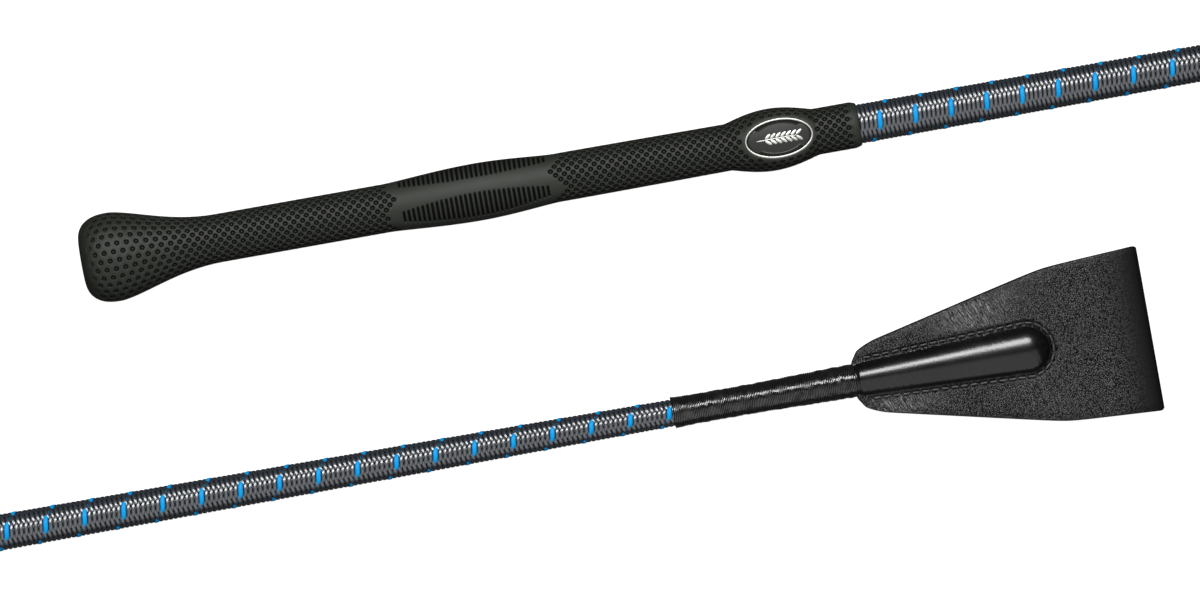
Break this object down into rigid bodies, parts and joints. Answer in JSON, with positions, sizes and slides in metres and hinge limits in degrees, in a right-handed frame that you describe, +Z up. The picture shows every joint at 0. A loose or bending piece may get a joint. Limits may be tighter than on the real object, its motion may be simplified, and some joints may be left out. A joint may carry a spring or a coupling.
{
  "type": "riding crop",
  "caption": "Short riding crop: dimpled rubber grip with a butt bulb and thumb swell, braided tapering shaft, thread whipping and a broad folded leather tongue.",
  "frame": {"origin": "on the surface the crop lies on, under the middle of its length; the crop's axis is 12.4 mm above it", "axes": "+X from the butt to the tongue along the crop's axis, +Z up through the badge and the tongue's upper face, +Y across the tongue"},
  "size_m": [0.65, 0.0462, 0.0248],
  "materials": {
    "fibreglass": "drawn glass fibre in resin",
    "grey_braid": "tight slate-grey nylon braid with a silvery sheen",
    "blue_yarn": "bright blue nylon yarn",
    "cap": "plain moulded",
    "grip_rubber": "satin black, dimpled, with smooth and ribbed bands at the thumb swell",
    "badge_face": "dark satin, unmarked",
    "badge_rim": "bright silver",
    "waxed_thread": "black waxed thread, glossy, wound in close turns",
    "tongue_leather": "black pebble-grained leather, polished over the ridge",
    "seam_thread": "dark waxed stitching thread"
  },
  "bodies": {
    "crop": {"rod_core": "fibreglass", "braid_cover": "grey_braid", "tracer_yarn": "blue_yarn", "tip_cap": "cap", "grip_body": "grip_rubber", "badge_plate": "badge_face", "badge_rim": "badge_rim", "whipping_thread": "waxed_thread", "tongue_upper_leaf": "tongue_leather", "tongue_lower_leaf": "tongue_leather", "seam_thread_upper": "seam_thread", "seam_thread_lower": "seam_thread"},
    "flap": {"tongue_flap": "tongue_leather"}
  },
  "joints": [
    {"name": "flap_bend", "type": "hinge", "parent": "crop", "child": "flap", "pos_m": [0.3, 0, 0.0124], "axis": [0, 1, 0], "range_deg": [-60, 60], "stiffness_Nm_per_rad": 0.15}
  ]
}
